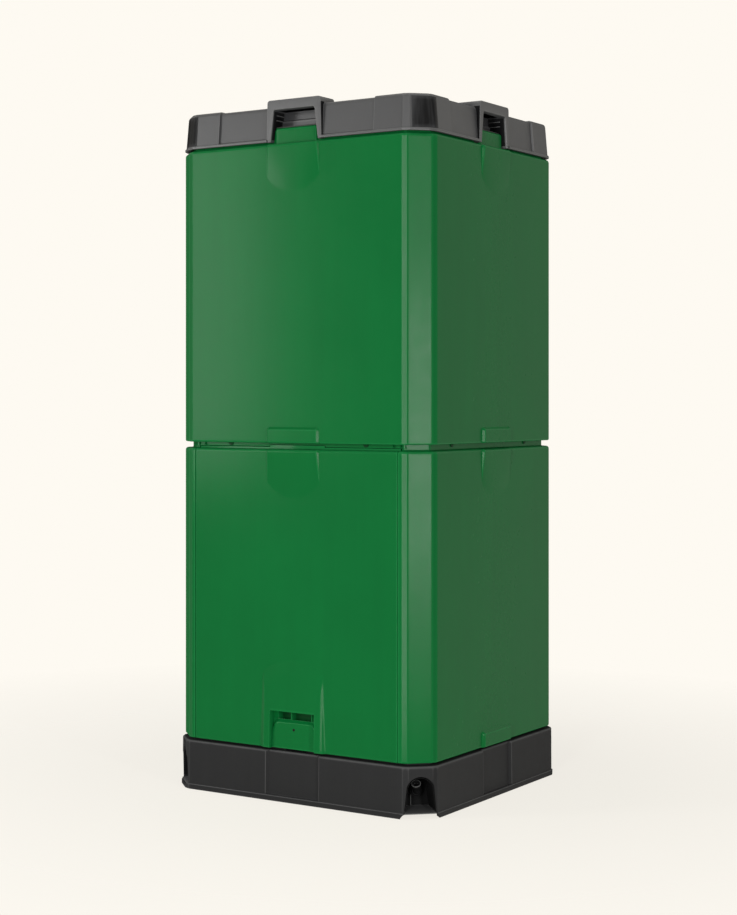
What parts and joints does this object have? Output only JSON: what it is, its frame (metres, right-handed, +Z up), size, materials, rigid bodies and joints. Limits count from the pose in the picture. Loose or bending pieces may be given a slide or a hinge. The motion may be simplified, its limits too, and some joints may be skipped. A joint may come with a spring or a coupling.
{
  "type": "compost bin",
  "caption": "Tall square insulated compost bin with a dark plinth, stacked green tiers, a hinged front door with a latch, a drain elbow and a grey lift-off lid with bridge handles.",
  "frame": {"origin": "middle of the plinth's footprint, on the floor", "axes": "+Z up, the door faces -Y, +X to the right seen from the front"},
  "size_m": [0.51, 0.51, 1.175],
  "materials": {
    "green_plastic": "satin moulded plastic",
    "lid_plastic": "satin moulded plastic",
    "base_plastic": "satin moulded plastic",
    "inner_plastic": "matt recycled plastic",
    "fitting_plastic": "moulded plastic",
    "foam": "rigid foam board",
    "seal_rubber": "matt rubber",
    "steel": "zinc-plated"
  },
  "bodies": {
    "bin": {"base_plinth": "base_plastic", "leachate_tray": "inner_plastic", "air_chimney": "inner_plastic", "tray_screws": "steel", "drain_outlet": "fitting_plastic", "drain_washer": "seal_rubber", "drain_locknut": "fitting_plastic", "floor_grate": "inner_plastic", "aeration_column_lower": "inner_plastic", "aeration_column_upper": "inner_plastic", "aeration_column_cap": "inner_plastic", "column_coupler": "inner_plastic", "base_gasket": "seal_rubber", "tier_gasket": "seal_rubber", "lower_shell": "green_plastic", "tier_pegs": "fitting_plastic", "door_header": "inner_plastic", "lower_liner": "inner_plastic", "lower_insulation_right": "foam", "lower_insulation_back": "foam", "lower_insulation_left": "foam", "hinge_bush_right": "inner_plastic", "hinge_bush_left": "inner_plastic", "upper_shell": "green_plastic", "upper_liner": "inner_plastic", "upper_insulation_front": "foam", "upper_insulation_right": "foam", "upper_insulation_back": "foam", "upper_insulation_left": "foam", "latch_keeper": "steel"},
    "elbow": {"drain_elbow": "fitting_plastic"},
    "door": {"door_panel": "green_plastic", "door_liner": "inner_plastic", "door_insulation": "foam", "door_seal": "seal_rubber", "door_screws": "steel", "hinge_pin_right": "steel", "hinge_pin_left": "steel", "latch_pin": "steel"},
    "latch": {"latch_tongue": "green_plastic", "latch_rivet": "steel", "latch_spring": "steel"},
    "lid": {"lid_shell": "lid_plastic", "lid_inner_plate": "inner_plastic", "lid_insulation": "foam", "lid_seal": "seal_rubber", "lid_screws": "steel"}
  },
  "joints": [
    {"name": "lid_lift", "type": "slide", "parent": "bin", "child": "lid", "axis": [0, 0, 1], "range_m": [0, 0.25]},
    {"name": "door_swing", "type": "hinge", "parent": "bin", "child": "door", "pos_m": [0, -0.238, 0.578], "axis": [-1, 0, 0], "range_deg": [0, 70]},
    {"name": "latch_pull", "type": "hinge", "parent": "door", "child": "latch", "pos_m": [0, -0.244, 0.094], "axis": [1, 0, 0], "range_deg": [0, 8], "stiffness_Nm_per_rad": 0.3, "springref_deg": -8.59},
    {"name": "drain_swivel", "type": "hinge", "parent": "bin", "child": "elbow", "pos_m": [0.21, -0.21, 0.04], "axis": [0.7071, -0.7071, 0], "range_deg": [0, 145]}
  ]
}
